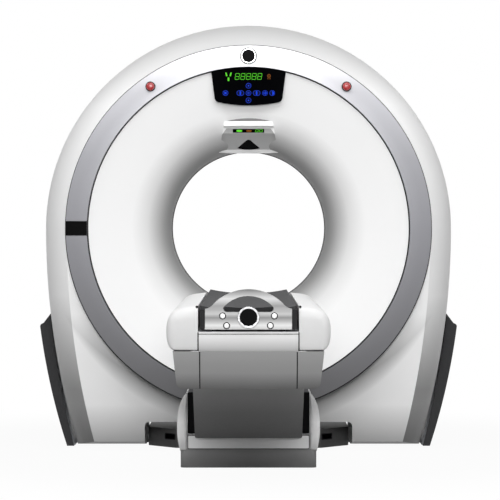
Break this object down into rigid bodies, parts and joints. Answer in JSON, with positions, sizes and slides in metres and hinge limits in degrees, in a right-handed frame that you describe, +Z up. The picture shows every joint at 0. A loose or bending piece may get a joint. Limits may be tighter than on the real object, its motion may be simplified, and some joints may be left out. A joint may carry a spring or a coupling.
{
  "type": "ct scanner",
  "caption": "Medical CT scanner: tilting ring-shaped gantry with a flared bore on a low base, and a lifting patient table with a sliding cradle.",
  "frame": {"origin": "point of the floor right below the isocentre, the centre of the bore, on the gantry base's underside", "axes": "+X to the right as seen from the foot of the table, +Y along the bore away from the table, +Z up"},
  "size_m": [1.916, 3.578, 1.914],
  "materials": {
    "cover_white": "satin white enamel",
    "ring_grey": "metallic grey lacquer",
    "hood_grey": "satin grey enamel",
    "body_grey": "satin grey lacquer",
    "dark_cover": "dark grey, lightly textured",
    "frame_steel": "grey primer",
    "leg_grey": "light grey paint",
    "drive_metal": "dark grey paint",
    "rotor_metal": "machined",
    "pin_steel": "ground",
    "brushed_plate": "brushed",
    "boss_dark": "dark disc",
    "cradle_grey": "dark laminate",
    "panel_black": "gloss black",
    "black_plastic": "matt black",
    "window_film": "dark film",
    "stop_red": "gloss red",
    "key_blue": "lit blue"
  },
  "bodies": {
    "base": {"base_frame": "frame_steel", "base_front_cover": "dark_cover", "side_cover_left": "dark_cover", "side_cover_right": "dark_cover", "tilt_drive": "drive_metal", "table_base": "frame_steel", "plinth_cover": "dark_cover", "ear_cover_left": "cover_white", "ear_cover_right": "cover_white", "base_pivot_pins": "pin_steel", "lift_drive": "drive_metal"},
    "gantry": {"tilt_frame": "frame_steel", "front_cover": "cover_white", "rear_cover": "cover_white", "trim_ring": "ring_grey", "front_funnel": "cover_white", "rear_funnel": "cover_white", "scan_window": "window_film", "bearing_outer_race": "pin_steel", "drive_stator": "drive_metal", "brush_block": "black_plastic", "control_panel": "panel_black", "visor_hood": "hood_grey", "indicator_strip": "panel_black", "laser_window": "panel_black", "side_plate": "panel_black", "estop_bezels": "black_plastic"},
    "bearing_cage": {"roller_cage": "pin_steel"},
    "rotor": {"rotor_plate": "rotor_metal", "xray_tube": "rotor_metal", "collimator": "drive_metal", "detector": "rotor_metal", "hv_generator": "rotor_metal", "cooling_unit": "rotor_metal", "slip_ring": "black_plastic"},
    "front_leg_pair": {"front_legs": "leg_grey", "leg_cover": "dark_cover"},
    "rear_leg_pair": {"rear_legs": "leg_grey"},
    "table_top": {"upper_frame": "frame_steel", "table_side_left": "cover_white", "table_side_right": "cover_white", "foot_panel": "cover_white", "lower_cover_centre": "body_grey", "lower_side_covers": "body_grey", "upper_pivot_pins": "pin_steel"},
    "support_roller": {"cradle_roller": "black_plastic"},
    "cradle_slider": {"cradle": "cradle_grey", "cradle_skids": "black_plastic", "cradle_handle": "brushed_plate", "handle_boss": "boss_dark"},
    "stop_left": {"estop_left": "stop_red"},
    "stop_right": {"estop_right": "stop_red"},
    "key_home_cap": {"key_home": "key_blue"},
    "key_in_cap": {"key_in": "key_blue"},
    "key_laser_cap": {"key_laser": "key_blue"},
    "key_out_cap": {"key_out": "key_blue"},
    "key_zero_cap": {"key_zero": "key_blue"},
    "key_tilt_cap": {"key_tilt": "key_blue"},
    "key_up_cap": {"key_up": "key_blue"},
    "key_down_cap": {"key_down": "key_blue"}
  },
  "joints": [
    {"name": "gantry_tilt", "type": "hinge", "parent": "base", "child": "gantry", "pos_m": [0, 0, 1], "axis": [1, 0, 0], "range_deg": [-30, 30]},
    {"name": "rotor_spin", "type": "hinge", "parent": "gantry", "child": "rotor", "pos_m": [0, 0, 1], "axis": [0, 1, 0], "continuous": true},
    {"name": "bearing_cage_spin", "type": "hinge", "parent": "gantry", "child": "bearing_cage", "pos_m": [0, 0, 1], "axis": [0, 1, 0], "continuous": true},
    {"name": "table_lift", "type": "hinge", "parent": "base", "child": "front_leg_pair", "pos_m": [0, -0.98502, 0.11], "axis": [-1, 0, 0], "range_deg": [-21.43, 22.12]},
    {"name": "rear_leg_swing", "type": "hinge", "parent": "base", "child": "rear_leg_pair", "pos_m": [0, -0.58502, 0.11], "axis": [-1, 0, 0], "range_deg": [-21.93, 22.62]},
    {"name": "table_level", "type": "hinge", "parent": "front_leg_pair", "child": "table_top", "pos_m": [0, -1.7438, 0.5557], "axis": [-1, 0, 0], "range_deg": [-22.62, 21.93]},
    {"name": "cradle_slide", "type": "slide", "parent": "table_top", "child": "cradle_slider", "axis": [0, 1, 0], "range_m": [0, 1.6]},
    {"name": "support_roller_spin", "type": "hinge", "parent": "table_top", "child": "support_roller", "pos_m": [0, -1.33, 0.6616], "axis": [-1, 0, 0], "range_deg": [-30, 4620]},
    {"name": "stop_left_press", "type": "slide", "parent": "gantry", "child": "stop_left", "axis": [0, 1, 0], "range_m": [0, 0.004]},
    {"name": "stop_right_press", "type": "slide", "parent": "gantry", "child": "stop_right", "axis": [0, 1, 0], "range_m": [0, 0.004]},
    {"name": "key_home_press", "type": "slide", "parent": "gantry", "child": "key_home_cap", "axis": [0, 0.9677, 0.2521], "range_m": [0, 0.001], "stiffness_N_per_m": 800, "springref_m": -0.0006},
    {"name": "key_in_press", "type": "slide", "parent": "gantry", "child": "key_in_cap", "axis": [0, 0.9677, 0.2521], "range_m": [0, 0.001], "stiffness_N_per_m": 800, "springref_m": -0.0006},
    {"name": "key_laser_press", "type": "slide", "parent": "gantry", "child": "key_laser_cap", "axis": [0, 0.9677, 0.2521], "range_m": [0, 0.001], "stiffness_N_per_m": 800, "springref_m": -0.0006},
    {"name": "key_out_press", "type": "slide", "parent": "gantry", "child": "key_out_cap", "axis": [0, 0.9677, 0.2521], "range_m": [0, 0.001], "stiffness_N_per_m": 800, "springref_m": -0.0006},
    {"name": "key_zero_press", "type": "slide", "parent": "gantry", "child": "key_zero_cap", "axis": [0, 0.9677, 0.2521], "range_m": [0, 0.001], "stiffness_N_per_m": 800, "springref_m": -0.0006},
    {"name": "key_tilt_press", "type": "slide", "parent": "gantry", "child": "key_tilt_cap", "axis": [0, 0.9677, 0.2521], "range_m": [0, 0.001], "stiffness_N_per_m": 800, "springref_m": -0.0006},
    {"name": "key_up_press", "type": "slide", "parent": "gantry", "child": "key_up_cap", "axis": [0, 0.9677, 0.2521], "range_m": [0, 0.001], "stiffness_N_per_m": 800, "springref_m": -0.0006},
    {"name": "key_down_press", "type": "slide", "parent": "gantry", "child": "key_down_cap", "axis": [0, 0.9677, 0.2521], "range_m": [0, 0.001], "stiffness_N_per_m": 800, "springref_m": -0.0006}
  ],
  "couplings": [
    {"joint": "bearing_cage_spin", "follows": "rotor_spin", "ratio": 0.49256},
    {"joint": "rear_leg_swing", "follows": "table_lift", "ratio": 1},
    {"joint": "table_level", "follows": "table_lift", "ratio": -1},
    {"joint": "support_roller_spin", "follows": "cradle_slide", "rad_per_m": 50}
  ]
}
